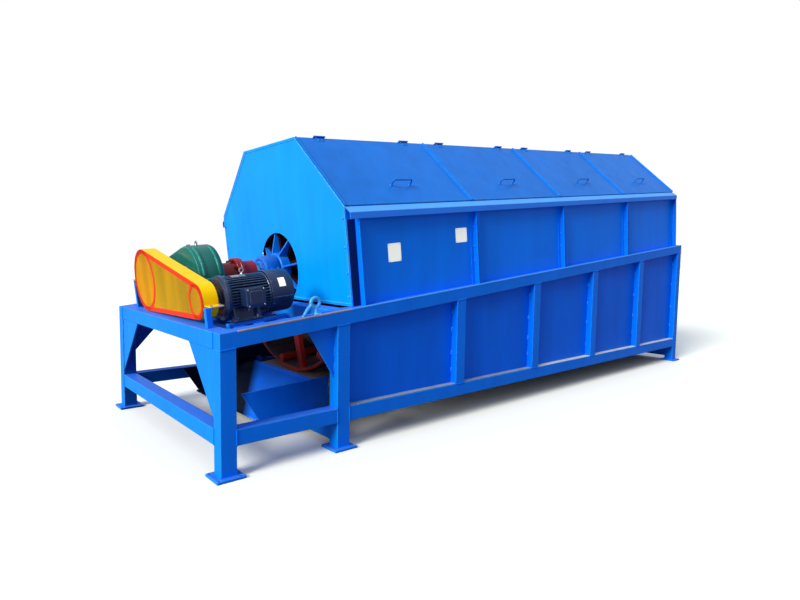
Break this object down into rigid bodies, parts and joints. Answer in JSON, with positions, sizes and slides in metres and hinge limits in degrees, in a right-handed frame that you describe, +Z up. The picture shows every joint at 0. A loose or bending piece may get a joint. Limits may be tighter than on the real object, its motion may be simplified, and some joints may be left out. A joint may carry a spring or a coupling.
{
  "type": "trommel screen",
  "caption": "Inclined rotary drum screen in a ribbed hood on a welded tube frame, with belt and gear drive, discharge chute and hinged roof lids.",
  "frame": {"origin": "middle of the footprint on the floor", "axes": "+X towards the feed end, +Y to the left seen from the drive end, +Z up"},
  "size_m": [6.46, 2.18, 2.7829],
  "materials": {
    "frame_paint": "glossy azure machine paint",
    "guard_paint": "glossy yellow paint",
    "rim_paint": "orange red paint",
    "gear_paint": "green machine enamel",
    "motor_paint": "dark navy enamel on cast iron",
    "coupling_paint": "dark red enamel",
    "drum_primer": "red oxide primer",
    "bright_steel": "turned steel",
    "belt_rubber": "matt black rubber"
  },
  "bodies": {
    "frame": {"foot_plates": "frame_paint", "legs": "frame_paint", "bottom_rails": "frame_paint", "frame_posts": "frame_paint", "low_ties": "frame_paint", "top_rails": "frame_paint", "cross_beams": "frame_paint", "platform_beams": "frame_paint", "gusset_plates": "frame_paint", "lower_panels_left": "frame_paint", "lower_panels_right": "frame_paint", "rear_lower_panel": "frame_paint", "discharge_chute": "frame_paint", "hood_front_plate": "frame_paint", "hood_rear_plate": "frame_paint", "hood_wall_left": "frame_paint", "hood_wall_right": "frame_paint", "hood_ribs_left": "frame_paint", "hood_ribs_right": "frame_paint", "eave_angles": "frame_paint", "roof_top_panel": "frame_paint", "roof_rafters": "frame_paint", "roof_hinges": "frame_paint", "feed_spout": "frame_paint", "lifting_lugs": "frame_paint", "motor_rails": "frame_paint", "bearing_stands": "frame_paint", "front_bearing": "frame_paint", "rear_bearing": "frame_paint", "guard_brackets": "frame_paint", "belt_guard": "guard_paint", "guard_mesh": "guard_paint", "guard_rim": "rim_paint", "reducer_housing": "gear_paint", "motor_housing": "motor_paint", "motor_cowl": "motor_paint", "terminal_box": "motor_paint", "drive_belts": "belt_rubber"},
    "drum": {"coupling": "coupling_paint", "output_shaft": "bright_steel", "drum_shaft": "bright_steel", "spider_front": "drum_primer", "spider_middle": "drum_primer", "spider_rear": "drum_primer", "drum_pipes": "drum_primer", "drum_screen": "drum_primer", "drum_hoops": "drum_primer"},
    "input_wheel": {"large_pulley": "bright_steel"},
    "motor_rotor": {"small_pulley": "bright_steel"},
    "lid_right_1": {"lid_right_1": "frame_paint"},
    "lid_right_2": {"lid_right_2": "frame_paint"},
    "lid_right_3": {"lid_right_3": "frame_paint"},
    "lid_right_4": {"lid_right_4": "frame_paint"},
    "lid_left_1": {"lid_left_1": "frame_paint"},
    "lid_left_2": {"lid_left_2": "frame_paint"},
    "lid_left_3": {"lid_left_3": "frame_paint"},
    "lid_left_4": {"lid_left_4": "frame_paint"}
  },
  "joints": [
    {"name": "drum_spin", "type": "hinge", "parent": "frame", "child": "drum", "pos_m": [0.36467, 0, 1.49996], "axis": [0.9945, 0, 0.1045], "continuous": true},
    {"name": "input_spin", "type": "hinge", "parent": "frame", "child": "input_wheel", "pos_m": [-3.06643, 0.43, 1.13934], "axis": [0.9945, 0, 0.1045], "continuous": true},
    {"name": "motor_spin", "type": "hinge", "parent": "frame", "child": "motor_rotor", "pos_m": [-3.0565, -0.592, 1.04486], "axis": [0.9945, 0, 0.1045], "continuous": true},
    {"name": "lid_right_1_hinge", "type": "hinge", "parent": "frame", "child": "lid_right_1", "pos_m": [-1.67121, -0.41766, 2.3057], "axis": [-0.9945, 0, -0.1045], "range_deg": [0, 105]},
    {"name": "lid_left_1_hinge", "type": "hinge", "parent": "frame", "child": "lid_left_1", "pos_m": [-1.67121, 0.41766, 2.3057], "axis": [0.9945, 0, 0.1045], "range_deg": [0, 105]},
    {"name": "lid_right_2_hinge", "type": "hinge", "parent": "frame", "child": "lid_right_2", "pos_m": [-0.35943, -0.41766, 2.44357], "axis": [-0.9945, 0, -0.1045], "range_deg": [0, 105]},
    {"name": "lid_left_2_hinge", "type": "hinge", "parent": "frame", "child": "lid_left_2", "pos_m": [-0.35943, 0.41766, 2.44357], "axis": [0.9945, 0, 0.1045], "range_deg": [0, 105]},
    {"name": "lid_right_3_hinge", "type": "hinge", "parent": "frame", "child": "lid_right_3", "pos_m": [0.95234, -0.41766, 2.58145], "axis": [-0.9945, 0, -0.1045], "range_deg": [0, 105]},
    {"name": "lid_left_3_hinge", "type": "hinge", "parent": "frame", "child": "lid_left_3", "pos_m": [0.95234, 0.41766, 2.58145], "axis": [0.9945, 0, 0.1045], "range_deg": [0, 105]},
    {"name": "lid_right_4_hinge", "type": "hinge", "parent": "frame", "child": "lid_right_4", "pos_m": [2.26412, -0.41766, 2.71932], "axis": [-0.9945, 0, -0.1045], "range_deg": [0, 105]},
    {"name": "lid_left_4_hinge", "type": "hinge", "parent": "frame", "child": "lid_left_4", "pos_m": [2.26412, 0.41766, 2.71932], "axis": [0.9945, 0, 0.1045], "range_deg": [0, 105]}
  ],
  "couplings": [
    {"joint": "input_spin", "follows": "drum_spin", "ratio": 31.5},
    {"joint": "motor_spin", "follows": "drum_spin", "ratio": 78.75}
  ]
}
